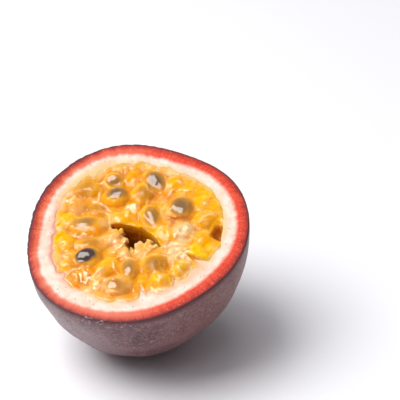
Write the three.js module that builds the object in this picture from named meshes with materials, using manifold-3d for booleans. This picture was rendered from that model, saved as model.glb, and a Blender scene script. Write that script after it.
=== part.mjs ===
// Half of a passion fruit, cut across its middle: a thick peel, and the pulp of seed sacs that fills it.
// It lies on the rounded peel, on a small flat, with the cut face tipped a little forward and to the left.
// Units are millimetres, +Z is up and -Y is forward. The origin is on the surface the half lies on,
// under the middle of it.
import * as THREE from "three";
import { mergeVertices } from "three/addons/utils/BufferGeometryUtils.js";
import Module from "manifold-3d";

const DEG = Math.PI / 180;

// The fruit, in its own frame: the cut face is at z = 0 and the blossom end points down.
const CUT_RADIUS = 29.3; // mean radius of the cut face
const BODY_DEPTH = 36.5; // from the cut face to the blossom end
const LOBES = [
  { count: 1, height: 0.008, peak: -26 * DEG }, // a little fuller to one side
  { count: 2, height: 0.006, peak: -86 * DEG },
  { count: 3, height: 0.03, peak: -1 * DEG }, // the three carpels show as three soft corners
  { count: 4, height: 0.008, peak: 24 * DEG },
  { count: 6, height: 0.0065, peak: -26 * DEG }, // small shoulders between the corners
];
const BLOSSOM_END = { x: -0.5, y: -5 }; // how far the lower end drifts off the axis of the cut face

// The peel: a red rind under the skin, then white pith.
const RIND = 3.1;
const PITH = 3.6;
const WALL = RIND + PITH;
const PEEL_GAP = 0.3; // between the peel and the pulp

// How it lies.
const TIP_FORWARD = 18 * DEG;
const TIP_LEFT = 5.7 * DEG;
const FLAT_DEPTH = 0.9; // how much of the round base the resting flat takes off

// The pulp: a bed of juice and flesh, with three rings of seed sacs set in it.
const BED_DROP = 1.4; // the bed's level below the cut face, at the peel
const BED_SAG = 0.9; // how much further it sinks towards the middle
const SAC = { length: 8.8, width: 6.9, height: 7 };
const SEED = { length: 5.3, width: 4, height: 2.8 };
const SEED_RISE = 0.5; // how far a seed that shows lifts the top of its sac

// Each ring's sacs by their bearing in degrees, and the bearings of those whose seed shows.
// A sac that sits off its ring is listed with how far it is nudged outwards.
const RINGS = [
  {
    radius: 18.7,
    top: 0.3,
    bearings: [
      -172, -153, -134, -118, -102, -84, -66, -48, -29, -13, 7, 24, 41, 56, 73, 91, 109, 130, 148, 167,
    ],
    seeds: [-102, 73, 109, 130],
    nudged: { 73: -1.5, 24: 0.8, 130: 1.2 },
  },
  {
    radius: 13,
    top: 0.4,
    bearings: [-163, -146, -120, -95, -66, -37, -6, 27, 53, 81, 115, 143, 170],
    seeds: [-146, -95, -66, 27, 81, 115, 170],
    nudged: { "-163": -1.2, "-146": 1.5, "-37": 2 },
  },
  {
    radius: 6.6,
    top: 0.2,
    bearings: [-162, -112, -66, -14, 41, 94, 137],
    seeds: [41],
    nudged: { 41: -0.6, "-14": 2 },
  },
];

// The most that a sac or seed differs from the rest.
const UNEVEN = { turn: 30 * DEG, size: 0.1, rise: 0.55 };

// The pulp has parted in the middle: a crevice, with a side cleft towards the front.
const CREVICE = { from: { x: -6.4, y: 3.2 }, to: { x: 7.8, y: -6.2 }, width: 4.4, depth: 9 };
const SIDE_CLEFT = { from: { x: -1.6, y: 0 }, to: { x: -0.2, y: -8 }, width: 2.8, depth: 6 };

// Seed stalks: soft white points of pith that reach in between the outer sacs.
const STALK = { length: 3.6, radius: 1.3, root: 1.2, drop: 0.9 };
const STALK_BEARINGS = [-143, -83, -58, -34, 17, 120, 178];

// Fineness of the faceted surfaces.
const AROUND = 48;
const OUTER_STEPS = 13;
const INNER_STEPS = 8;
const BED_STEPS = 3;
const SAC_SIDES = 9;
const SAC_STEPS = 7;
const SEED_SIDES = 7;
const SEED_STEPS = 5;
const STALK_SIDES = 6;
const CLEFT_SIDES = 10;
const CLEFT_STEPS = 8;

const wasm = await Module();
wasm.setup();

function solidOf(geometry) {
  const bare = geometry.clone();
  bare.deleteAttribute("normal");
  bare.deleteAttribute("uv");
  const merged = mergeVertices(bare, 1e-3);
  return new wasm.Manifold(
    new wasm.Mesh({
      numProp: 3,
      vertProperties: merged.attributes.position.array,
      triVerts: new Uint32Array(merged.index.array),
    }),
  );
}

function geometryOf(solid) {
  const mesh = solid.getMesh();
  const geometry = new THREE.BufferGeometry();
  geometry.setAttribute("position", new THREE.BufferAttribute(mesh.vertProperties, 3));
  geometry.setIndex(new THREE.BufferAttribute(mesh.triVerts, 1));
  geometry.computeVertexNormals();
  return geometry;
}

// A repeatable draw from -1 to 1 for a numbered sac and one of its traits, so that no two are quite alike.
function draw(item, trait) {
  const wave = Math.sin(item * 12.9898 + trait * 78.233) * 43758.5453;
  return 2 * (wave - Math.floor(wave)) - 1;
}

function lobed(bearing) {
  return LOBES.reduce((sum, lobe) => sum + lobe.height * Math.cos(lobe.count * (bearing - lobe.peak)), 1);
}

// Turns a round, upright form into the fruit's own: lobed across, and leaning towards the blossom end.
function asFruit(geometry) {
  const place = geometry.attributes.position;
  const p = new THREE.Vector3();
  for (let i = 0; i < place.count; i++) {
    p.fromBufferAttribute(place, i);
    const swell = lobed(Math.atan2(p.y, p.x));
    const down = Math.min(Math.max(-p.z / BODY_DEPTH, 0), 1);
    const lean = 1 - Math.sqrt(1 - down * down);
    place.setXYZ(i, p.x * swell + BLOSSOM_END.x * lean, p.y * swell + BLOSSOM_END.y * lean, p.z);
  }
  return geometry;
}

// The fruit's section at a depth under the skin, from the blossom end up to the cut face.
function section(inset, steps) {
  const across = CUT_RADIUS - inset;
  const down = BODY_DEPTH - inset;
  const points = [new THREE.Vector2(0, -down)];
  for (let i = 1; i <= steps; i++) {
    const dip = (Math.PI / 2) * (1 - i / steps);
    points.push(new THREE.Vector2(across * Math.cos(dip), -down * Math.sin(dip)));
  }
  return points;
}

// A section turned about the fruit's axis.
function turned(points) {
  return solidOf(asFruit(new THREE.LatheGeometry(points, AROUND).rotateX(Math.PI / 2)));
}

function ellipsoid({ length, width, height }, sides, steps) {
  return new THREE.SphereGeometry(0.5, sides, steps).rotateX(Math.PI / 2).scale(length, width, height);
}

// One stalk, rooted in the pith, with a clearance all round when it is the room that the pulp leaves for it.
function stalkSolid(degrees, clearance) {
  const bearing = degrees * DEG;
  const start = (CUT_RADIUS - WALL) * lobed(bearing) + STALK.root;
  const length = STALK.length + STALK.root + clearance;
  const cone = new THREE.ConeGeometry(STALK.radius + clearance, length, STALK_SIDES);
  cone.rotateZ(Math.PI / 2).translate(start - length / 2, 0, -STALK.drop - STALK.radius).rotateZ(bearing);
  return solidOf(cone);
}

function peelSolid() {
  const wall = turned([...section(0, OUTER_STEPS), ...section(WALL, INNER_STEPS).reverse()]);
  return wasm.Manifold.union([wall, ...STALK_BEARINGS.map((bearing) => stalkSolid(bearing, 0))]);
}

// The hollow of the peel less the gap, carried on above the cut face: the pulp stays inside it.
function hollowSolid() {
  const side = section(WALL + PEEL_GAP, INNER_STEPS);
  const above = SAC.height;
  const brim = new THREE.Vector2(CUT_RADIUS - WALL - PEEL_GAP, above);
  return turned([...side, brim, new THREE.Vector2(0, above)]);
}

// Juice and flesh up to a shallow dish, wider than the hollow that it is cut to.
function bedSolid() {
  const points = [new THREE.Vector2(0, -2 * BODY_DEPTH), new THREE.Vector2(CUT_RADIUS, -2 * BODY_DEPTH)];
  for (let i = BED_STEPS; i >= 0; i--) {
    const out = i / BED_STEPS;
    points.push(new THREE.Vector2(CUT_RADIUS * out, -BED_DROP - BED_SAG * (1 - out * out)));
  }
  return solidOf(new THREE.LatheGeometry(points, AROUND / 2).rotateX(Math.PI / 2));
}

// The forms of one sac: the sac itself and, where it shows, the seed that lifts its top.
function sacForms(ring, degrees, item) {
  const bearing = degrees * DEG;
  const radius = ring.radius + (ring.nudged[degrees] ?? 0);
  const size = 1 + draw(item, 1) * UNEVEN.size;
  const turn = bearing + draw(item, 2) * UNEVEN.turn;
  const top = ring.top + draw(item, 3) * UNEVEN.rise;
  const sac = ellipsoid(SAC, SAC_SIDES, SAC_STEPS).scale(size, size, size);
  const forms = [sac.translate(0, 0, top - (SAC.height * size) / 2)];
  if (ring.seeds.includes(degrees)) {
    forms.push(ellipsoid(SEED, SEED_SIDES, SEED_STEPS).translate(0, 0, top + SEED_RISE - SEED.height / 2));
  }
  const [x, y] = [radius * Math.cos(bearing), radius * Math.sin(bearing)];
  return forms.map((form) => solidOf(form.rotateZ(turn).translate(x, y, 0)));
}

// A deep, narrow lens between two points of the cut face.
function cleftSolid({ from, to, width, depth }) {
  const length = Math.hypot(to.x - from.x, to.y - from.y);
  const lens = ellipsoid({ length, width, height: 2 * depth }, CLEFT_SIDES, CLEFT_STEPS);
  lens.rotateZ(Math.atan2(to.y - from.y, to.x - from.x));
  return solidOf(lens.translate((from.x + to.x) / 2, (from.y + to.y) / 2, 0));
}

function pulpSolid() {
  const forms = [bedSolid()];
  let item = 0;
  for (const ring of RINGS) {
    for (const degrees of ring.bearings) {
      forms.push(...sacForms(ring, degrees, item));
      item += 1;
    }
  }
  const room = [
    ...STALK_BEARINGS.map((bearing) => stalkSolid(bearing, PEEL_GAP)),
    cleftSolid(CREVICE),
    cleftSolid(SIDE_CLEFT),
  ];
  const filling = wasm.Manifold.union(forms).intersect(hollowSolid()).subtract(wasm.Manifold.union(room));
  // Slivers that the cuts leave loose are dropped.
  return filling.decompose().sort((a, b) => b.volume() - a.volume())[0];
}

function meshOf(name, solid, look) {
  const mesh = new THREE.Mesh(geometryOf(solid), new THREE.MeshStandardMaterial(look));
  mesh.name = name;
  return mesh;
}

const half = new THREE.Group();
half.rotation.set(TIP_FORWARD, -TIP_LEFT, 0);
half.updateMatrix();

// The resting flat is level as the half lies, so its cutter is placed level and then turned into the
// fruit's frame.
const wholePeel = peelSolid();
const lying = geometryOf(wholePeel).applyMatrix4(half.matrix);
lying.computeBoundingBox();
const slab = new THREE.BoxGeometry(2 * CUT_RADIUS, 2 * CUT_RADIUS, CUT_RADIUS);
slab.translate(0, 0, lying.boundingBox.min.z + FLAT_DEPTH - CUT_RADIUS / 2);
slab.applyMatrix4(half.matrix.clone().invert());

half.add(
  meshOf("peel", wholePeel.subtract(solidOf(slab)), { color: 0x5c3a42, roughness: 0.5, metalness: 0 }),
  meshOf("pulp", pulpSolid(), { color: 0xf6a81c, roughness: 0.2, metalness: 0 }),
);

// The origin goes under the middle of the half.
half.updateMatrixWorld(true);
const box = new THREE.Box3().setFromObject(half, true);
half.position.set(-(box.min.x + box.max.x) / 2, -(box.min.y + box.max.y) / 2, -box.min.z);

const passionFruitHalf = new THREE.Group();
passionFruitHalf.add(half);

export default passionFruitHalf;
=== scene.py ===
"""Half of a passion fruit, lying on its rounded peel with the cut face tipped forward and to the left."""

import math

import bpy
import numpy as np
from mathutils import Matrix, Vector, noise


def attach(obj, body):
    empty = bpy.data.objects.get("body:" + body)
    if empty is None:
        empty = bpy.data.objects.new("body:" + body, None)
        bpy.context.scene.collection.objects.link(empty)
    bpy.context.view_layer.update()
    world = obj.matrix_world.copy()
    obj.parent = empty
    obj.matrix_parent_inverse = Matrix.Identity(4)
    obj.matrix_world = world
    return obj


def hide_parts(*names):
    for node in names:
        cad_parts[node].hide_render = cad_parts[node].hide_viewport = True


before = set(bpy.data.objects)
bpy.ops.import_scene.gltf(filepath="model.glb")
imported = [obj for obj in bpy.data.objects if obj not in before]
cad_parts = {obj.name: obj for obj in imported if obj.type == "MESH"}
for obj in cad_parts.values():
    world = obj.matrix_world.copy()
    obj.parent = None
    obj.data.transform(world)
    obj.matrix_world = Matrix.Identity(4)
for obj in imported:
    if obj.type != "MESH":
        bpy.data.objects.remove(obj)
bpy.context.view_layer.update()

MM = 0.001

# The fruit in its own frame: the cut face is at z = 0, the blossom end points down. Millimetres.
CUT_RADIUS = 29.3
BODY_DEPTH = 36.5
# The lobes across: how many go round, their height, and the bearing of a peak in degrees.
LOBES = ((1, 0.008, -26), (2, 0.006, -86), (3, 0.03, -1), (4, 0.008, 24), (6, 0.0065, -26))
BLOSSOM_END = (-0.5, -5.0)
RIND = 3.1
PITH = 3.6
WALL = RIND + PITH
PEEL_GAP = 0.3
OVERLAP = 0.6  # how far the pulp reaches into the peel near the cut, so that no gap shows there

# How the fruit's frame lies in the row's frame.
TIP_FORWARD = math.radians(18)
TIP_LEFT = math.radians(5.7)
CUT_CENTRE = Vector((-1.1909, -1.0015, 36.1509)) * MM
TURN = Matrix.Rotation(TIP_FORWARD, 3, "X") @ Matrix.Rotation(-TIP_LEFT, 3, "Y")

# ---------------------------------------------------------------- helpers for places and shapes


def lobed(bearing):
    return 1 + sum(height * np.cos(count * (bearing - math.radians(peak))) for count, height, peak in LOBES)


def to_row(points):
    """Points of the fruit's frame in millimetres, as points of the row's frame in metres."""
    return points @ np.array(TURN).T * MM + np.array(CUT_CENTRE)


def drift(z):
    """How far the middle of the fruit has drifted towards the blossom end at a height, as x and y."""
    down = np.clip(-z / BODY_DEPTH, 0, 1)
    lean = 1 - np.sqrt(1 - down**2)
    return BLOSSOM_END[0] * lean, BLOSSOM_END[1] * lean


def as_fruit(points):
    """Turns a round, upright form into the fruit's own: lobed across, leaning towards the blossom end."""
    x, y, z = points.T
    swell = lobed(np.arctan2(y, x))
    drift_x, drift_y = drift(z)
    return np.column_stack([x * swell + drift_x, y * swell + drift_y, z])


def smoothstep(low, high, value):
    t = np.clip((value - low) / (high - low), 0, 1)
    return t * t * (3 - 2 * t)


def around(bearing, middle, spread):
    """1 at the middle bearing, falling to 0 at the spread to either side of it, in degrees."""
    away = np.abs((np.degrees(bearing) - middle + 180) % 360 - 180)
    return 1 - smoothstep(0.3 * spread, spread, away)


def relief(points, size, seed=0.0, octaves=1):
    """A smooth noise from about -1 to 1 at each point, with bumps of the given size in millimetres."""
    shift = Vector((seed, seed * 1.7, seed * 2.3))
    out = np.zeros(len(points))
    for i, p in enumerate(points):
        q = Vector(p) / size + shift
        out[i] = noise.fractal(q, 1.0, 2.0, octaves) if octaves > 1 else noise.noise(q)
    return out


def ring(bearing, height=0.0):
    """Places on a small ring, one for each bearing, so that noise read there closes on itself."""
    radius = 3.2
    return np.column_stack([radius * np.cos(bearing), radius * np.sin(bearing), height + 0 * bearing])


def wander(points, size, reach, first_seed, second_seed):
    """Smooth steps over the face, of up to about the reach, with none in height."""
    steps = [relief(points, size, first_seed), relief(points, size, second_seed), np.zeros(len(points))]
    return reach * np.column_stack(steps)


def shaken(points, size, reach, seeds, octaves=1):
    """Points moved about in all directions by smooth noise."""
    return points + reach * np.column_stack([relief(points, size, seed, octaves) for seed in seeds])


def along_and_across(dx, dy, angle):
    """Steps over the face, as seen along and across a line that is turned by the angle."""
    c, s = math.cos(angle), math.sin(angle)
    return dx * c + dy * s, dy * c - dx * s


def patch(points, x, y, length, width, turn, softness):
    """1 inside an ellipse on the face, fading to 0 across its edge. The turn is in degrees."""
    along, across = along_and_across(points[:, 0] - x, points[:, 1] - y, math.radians(turn))
    out = 2 * np.hypot(along / length, across / width)
    return 1 - smoothstep(1 - softness, 1 + softness, out)


# ---------------------------------------------------------------- helpers for pieces


def deselect():
    if bpy.context.object and bpy.context.object.mode != "OBJECT":
        bpy.ops.object.mode_set(mode="OBJECT")
    bpy.ops.object.select_all(action="DESELECT")


def select(*pieces):
    """Selects these pieces alone and makes the first one active."""
    deselect()
    for piece in pieces:
        piece.select_set(True)
    bpy.context.view_layer.objects.active = pieces[0]


def named(name):
    """The object that an operator has just added, under its own name."""
    piece = bpy.context.object
    piece.name = piece.data.name = name
    return piece


def places(piece):
    co = np.empty(len(piece.data.vertices) * 3)
    piece.data.vertices.foreach_get("co", co)
    return co.reshape(-1, 3)


def move_to(piece, points):
    piece.data.vertices.foreach_set("co", points.ravel())
    piece.data.update()


def store(piece, name, values):
    """Keeps one number for each vertex in an attribute that the piece's material reads."""
    piece.data.attributes.new(name, "FLOAT", "POINT")
    piece.data.attributes[name].data.foreach_set("value", np.asarray(values, dtype=np.float32))


def stored(piece, name):
    values = np.empty(len(piece.data.vertices), dtype=np.float32)
    piece.data.attributes[name].data.foreach_get("value", values)
    return values.astype(float)


def spun(name, section, steps):
    """A closed surface made by spinning an open outline that starts and ends on the axis. A third column
    of the outline is kept as the attribute depth."""
    deselect()
    bpy.ops.mesh.primitive_circle_add(vertices=len(section), fill_type="NOTHING", location=(0, 0, 0))
    piece = named(name)
    move_to(piece, np.column_stack([section[:, 0], np.zeros(len(section)), section[:, 1]]))
    for depth in section.T[2:]:
        store(piece, "depth", depth)
    ends = {0, len(section) - 1}
    bpy.ops.object.mode_set(mode="EDIT")
    bpy.ops.mesh.select_mode(type="EDGE")
    bpy.ops.mesh.select_all(action="DESELECT")
    bpy.ops.object.mode_set(mode="OBJECT")
    for edge in piece.data.edges:
        edge.select = set(edge.vertices) == ends
    bpy.ops.object.mode_set(mode="EDIT")
    bpy.ops.mesh.delete(type="EDGE")
    bpy.ops.mesh.select_all(action="SELECT")
    bpy.ops.mesh.spin(steps=steps, angle=2 * math.pi, center=(0, 0, 0), axis=(0, 0, 1))
    bpy.ops.mesh.select_all(action="SELECT")
    bpy.ops.mesh.remove_doubles(threshold=0.002)
    bpy.ops.mesh.normals_make_consistent(inside=False)
    bpy.ops.object.mode_set(mode="OBJECT")
    return piece


def turned_about(points, centre, angle):
    """Points turned by an angle about an upright line and then moved to a centre."""
    c, s = math.cos(angle), math.sin(angle)
    x = points[:, 0] * c - points[:, 1] * s + centre[0]
    y = points[:, 0] * s + points[:, 1] * c + centre[1]
    return np.column_stack([x, y, points[:, 2] + centre[2]])


def ball(name, size, segments=28, rings=18):
    deselect()
    bpy.ops.mesh.primitive_uv_sphere_add(segments=segments, ring_count=rings, radius=0.5)
    piece = named(name)
    move_to(piece, places(piece) * np.array(size))
    return piece


def join(name, parts):
    select(*parts)
    bpy.ops.object.join()
    return named(name)


def apply_modifier(piece, kind, **settings):
    modifier = piece.modifiers.new(kind.lower(), kind)
    for name, value in settings.items():
        setattr(modifier, name, value)
    bpy.context.view_layer.objects.active = piece
    bpy.ops.object.modifier_apply(modifier=modifier.name)


def cut_with(piece, tool, operation):
    apply_modifier(piece, "BOOLEAN", operation=operation, object=tool, solver="MANIFOLD")
    bpy.data.objects.remove(tool)


def without_crumbs(piece):
    """The largest connected part of a mesh, without the crumbs that earlier steps left beside it."""
    name = piece.name
    select(piece)
    bpy.ops.object.mode_set(mode="EDIT")
    bpy.ops.mesh.select_all(action="SELECT")
    bpy.ops.mesh.separate(type="LOOSE")
    bpy.ops.object.mode_set(mode="OBJECT")
    *crumbs, whole = sorted(bpy.context.selected_objects, key=lambda part: len(part.data.vertices))
    for crumb in crumbs:
        bpy.data.objects.remove(crumb)
    bpy.context.view_layer.objects.active = whole
    return named(name)


# ---------------------------------------------------------------- helpers for materials


def linear(hex_colour):
    """A colour written as red, green and blue in hexadecimal, as the linear colour that shaders take."""
    parts = [int(hex_colour[i : i + 2], 16) / 255 for i in (0, 2, 4)]
    return tuple(c / 12.92 if c <= 0.04045 else ((c + 0.055) / 1.055) ** 2.4 for c in parts) + (1.0,)


class Make:
    """Adds nodes to a tree. Each method adds what its name says and returns the new node's output."""

    def __init__(self, tree):
        self.tree = tree

    def feed(self, sockets, values):
        """Sets sockets, by name or number, to values, or links them to the outputs of other nodes."""
        for key, value in values.items():
            if isinstance(value, bpy.types.NodeSocket):
                self.tree.links.new(value, sockets[key])
            else:
                sockets[key].default_value = value

    def node(self, kind, values, output=0, **settings):
        node = self.tree.nodes.new("ShaderNode" + kind)
        for name, value in settings.items():
            setattr(node, name, value)
        self.feed(node.inputs, values)
        return node.outputs[output]

    def painted(self, name, output="Fac"):
        """What is painted on the piece's vertices under a name."""
        return self.node("Attribute", {}, output, attribute_name=name)

    def plus(self, first, second):
        return self.node("Math", {0: first, 1: second}, operation="ADD")

    def minus(self, first, second):
        return self.node("Math", {0: first, 1: second}, operation="SUBTRACT")

    def times(self, first, second):
        return self.node("Math", {0: first, 1: second}, operation="MULTIPLY")

    def larger(self, first, second):
        return self.node("Math", {0: first, 1: second}, operation="MAXIMUM")

    def ramp(self, value, start, end):
        """0 at the start value and 1 at the end value, rising or falling smoothly between them."""
        rising = start < end
        values = {"Value": value, "From Min": min(start, end), "From Max": max(start, end)}
        values.update({"To Min": 0.0 if rising else 1.0, "To Max": 1.0 if rising else 0.0})
        return self.node("MapRange", values, "Result", interpolation_type="SMOOTHSTEP")

    def mix(self, share, first, second):
        """The first colour turning into the second as the share goes from 0 to 1."""
        node = self.tree.nodes.new("ShaderNodeMix")
        node.data_type = "RGBA"
        sockets = {socket.identifier: socket for socket in (*node.inputs, *node.outputs)}
        first, second = (linear(colour) if isinstance(colour, str) else colour for colour in (first, second))
        self.feed(sockets, {"Factor_Float": share, "A_Color": first, "B_Color": second})
        return sockets["Result_Color"]

    def fruit_place(self):
        """The fruit's own coordinates in millimetres, at each point of a surface."""
        back = TURN.transposed()
        values = {"Vector": self.node("TexCoord", {}, "Object"), "Scale": (1 / MM, 1 / MM, 1 / MM)}
        values.update({"Rotation": back.to_euler("XYZ"), "Location": -(back @ CUT_CENTRE) / MM})
        return self.node("Mapping", values, "Vector")

    def rim_place(self, place, depth):
        """Millimetres round the rim, with the depth drawn out, so that noise runs in radial streaks."""
        flat = self.node("VectorMath", {0: place, 1: (1, 1, 0)}, operation="MULTIPLY")
        unit = self.node("VectorMath", {0: flat}, operation="NORMALIZE")
        rim = self.node("VectorMath", {0: unit, "Scale": CUT_RADIUS - RIND}, operation="SCALE")
        drawn_out = self.node("CombineXYZ", {"Z": self.times(depth, 0.3)})
        return self.node("VectorMath", {0: rim, 1: drawn_out}, operation="ADD")

    def grain(self, place, size, detail=0.0, shift=0.0):
        """Soft noise from 0 to 1, with bumps of about the given size in millimetres."""
        apart = (shift * 3.1, shift * 1.3, shift * 2.3)
        values = {"Place": place, "Shift": apart, "Scale": 1 / size, "Detail": detail}
        return self.node("Group", values, "Grain", node_tree=GRAIN)

    def spots(self, place, spacing):
        """Distance, in shares of the spacing, to the nearest of many scattered points."""
        return self.node("TexVoronoi", {"Vector": place, "Scale": 1 / spacing}, "Distance")

    def threads(self, place, size):
        """Fine wandering lines, 1 along them and 0 between, in a net with meshes of about the given size."""
        side = self.minus(self.grain(place, size, detail=1, shift=7), 0.5)
        off_line = self.node("Math", {0: side}, operation="ABSOLUTE")
        here_and_there = self.ramp(self.grain(place, 2 * size, shift=11), 0.42, 0.58)
        return self.times(self.ramp(off_line, 0.03, 0.008), here_and_there)

    def bumps(self, height, distance, strength):
        return self.node("Bump", {"Height": height, "Distance": distance, "Strength": strength}, "Normal")


def grain_group():
    """Noise read at a shifted place, so that each use of it in skin, rind, pith and flesh is another one."""
    group = bpy.data.node_groups.new("fruit_grain", "ShaderNodeTree")
    for name in ("Place", "Shift"):
        group.interface.new_socket(name, in_out="INPUT", socket_type="NodeSocketVector")
    for name in ("Scale", "Detail"):
        group.interface.new_socket(name, in_out="INPUT", socket_type="NodeSocketFloat")
    group.interface.new_socket("Grain", in_out="OUTPUT", socket_type="NodeSocketFloat")
    make = Make(group)
    given = group.nodes.new("NodeGroupInput").outputs
    moved = make.node("VectorMath", {0: given["Place"], 1: given["Shift"]}, operation="ADD")
    values = {"Vector": moved, "Scale": given["Scale"], "Detail": given["Detail"]}
    make.feed(group.nodes.new("NodeGroupOutput").inputs, {"Grain": make.node("TexNoise", values, "Fac")})
    return group


GRAIN = grain_group()


def new_material(name, shading):
    """A material whose shader takes the values that shading gives for it, with a Make to work them out."""
    material = bpy.data.materials.new(name)
    material.use_nodes = True
    make = Make(material.node_tree)
    make.feed(material.node_tree.nodes["Principled BSDF"].inputs, shading(make))
    return material


# ---------------------------------------------------------------- the hollow's wall, shared by peel and pulp

# White spikes of pith, the roots of sac stalks: bearing in degrees, length and half-width at the root.
SPIKES = (
    (-143, 1.6, 1.6),
    (-83, 3.3, 1.2),
    (-78, 1.9, 3.0),
    (-58, 1.8, 1.4),
    (-34, 4.0, 1.5),
    (120, 1.2, 1.5),
    (178, 1.3, 1.8),
)
SPIKE_POINT = 1.6  # the higher, the more slender a spike's point

# Where the pink lining of the hollow shows as a ledge around the pulp: middle bearing, spread and width.
LEDGES = ((-55, 38, 1.4), (-168, 46, 0.6))

EDGE_WAVER = 0.9
# Where the edge runs more evenly: middle bearing, spread, and how much less it wavers.
CALM_EDGE = (12, 46, 0.65)


def ledge_width(bearing):
    uneven = 1 + 0.6 * relief(ring(bearing), 0.4, 19)
    return uneven * sum(width * around(bearing, middle, spread) for middle, spread, width in LEDGES)


def edge_waver(bearing, height):
    """How far the hollow's edge strays outwards, in millimetres."""
    middle, spread, less = CALM_EDGE
    strength = EDGE_WAVER - less * around(bearing, middle, spread)
    return strength * smoothstep(-6, -1, height) * relief(ring(bearing, 0.15 * height), 0.55, 11, octaves=3)


def spike_reach(bearing):
    """How far the spikes reach inwards at a bearing, in millimetres."""
    reach = np.zeros(len(bearing))
    bearing = bearing + 0.035 * relief(ring(bearing), 0.22, 17)
    for at, length, half_width in SPIKES:
        away = np.abs((bearing - math.radians(at) + math.pi) % (2 * math.pi) - math.pi) * (CUT_RADIUS - WALL)
        share = np.clip(1 - away / half_width, 0, 1)
        reach = np.maximum(reach, length * share**SPIKE_POINT)
    return reach


# ---------------------------------------------------------------- the peel's shape

# Steps round the fruit and along the stretches of its section.
SPIN_STEPS = 400
SKIN_STEPS = 72
CUT_STEPS = 30
INNER_STEPS = 40
EDGE_STEPS = 4
INNER_EDGE_STEPS = 5

INNER_ROUND = 0.35
EDGE_ROUND = 0.26
SKIN_INSET = 0.06  # keeps the skin within the solid
CUT_DROP = 0.12
RIND_PROUD = 0.11
KNIFE_MARKS = 0.035
EDGE_DIP = 0.22

# Where the red rind is thicker or thinner than its even run: middle bearing, spread and difference.
THICK_RIND = ((-62, 62, 0.65), (75, 24, 0.5), (165, 26, 0.35), (-140, 28, -0.2))

# Soft hollows and swellings of the body: middle, radius, and how far the skin is pushed in.
DENTS = (
    ((-25.5, -14.5, -7.0), 8.0, -0.4),
    ((-19.0, -19.5, -16.5), 9.0, -0.45),
    ((-10.5, -22.5, -22.0), 8.0, -0.45),
    ((21.5, -12.0, -20.5), 8.0, -0.3),
    ((-16.4, -24.6, -5.2), 2.6, 0.3),
    ((-14.0, -25.4, -9.5), 3.0, 0.25),
    ((-18.0, -22.5, -12.5), 2.6, 0.25),
)

# Where the skin is scuffed below the rim: middle and radius.
SCUFFS = (
    ((-11.8, -26.7, -0.8), 3.5),
    ((-7.0, -28.7, -1.2), 3.5),
    ((-2.0, -29.5, -2.2), 3.0),
    ((-14.5, -25.0, -8.0), 3.5),
    ((-18.2, -22.6, -9.0), 3.0),
)


def ellipse(inset, dip):
    return (CUT_RADIUS - inset) * math.cos(dip), -(BODY_DEPTH - inset) * math.sin(dip)


def peel_section():
    """The wall's outline from the blossom end up the skin, over the cut and down the hollow, as
    (distance from the axis, height, depth under the skin)."""
    points = []
    quarter = math.pi / 2
    edge_dip = math.asin((EDGE_ROUND + CUT_DROP) / BODY_DEPTH)
    for i in range(SKIN_STEPS + 1):
        points.append((*ellipse(SKIN_INSET, quarter + (edge_dip - quarter) * i / SKIN_STEPS), 0.0))
    rim = CUT_RADIUS - SKIN_INSET
    for i in range(1, EDGE_STEPS):
        a = quarter * i / EDGE_STEPS
        out, up = rim - EDGE_ROUND * (1 - math.cos(a)), -CUT_DROP - EDGE_ROUND * (1 - math.sin(a))
        points.append((out, up, EDGE_ROUND * i / EDGE_STEPS))
    for i in range(CUT_STEPS + 1):
        depth = EDGE_ROUND + (WALL - INNER_ROUND - EDGE_ROUND) * i / CUT_STEPS
        points.append((CUT_RADIUS - depth, -CUT_DROP, depth))
    inner = CUT_RADIUS - WALL
    for i in range(1, INNER_EDGE_STEPS):
        a = quarter * i / INNER_EDGE_STEPS
        out, up = inner + INNER_ROUND * (1 - math.sin(a)), -CUT_DROP - INNER_ROUND * (1 - math.cos(a))
        points.append((out, up, WALL))
    first = math.asin((CUT_DROP + INNER_ROUND) / (BODY_DEPTH - WALL))
    for i in range(INNER_STEPS + 1):
        share = (i / INNER_STEPS) ** 1.8  # finer near the edge
        points.append((*ellipse(WALL, first + (quarter - first) * share), WALL + 0.5))
    return np.array(points)


def rind_depth(bearing):
    """Where the red rind ends: it is thicker at the back and the front of the half than at its left."""
    return RIND + 0.45 * np.cos(bearing - math.radians(75)) + sum(
        extra * around(bearing, middle, spread) for middle, spread, extra in THICK_RIND
    )


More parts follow.
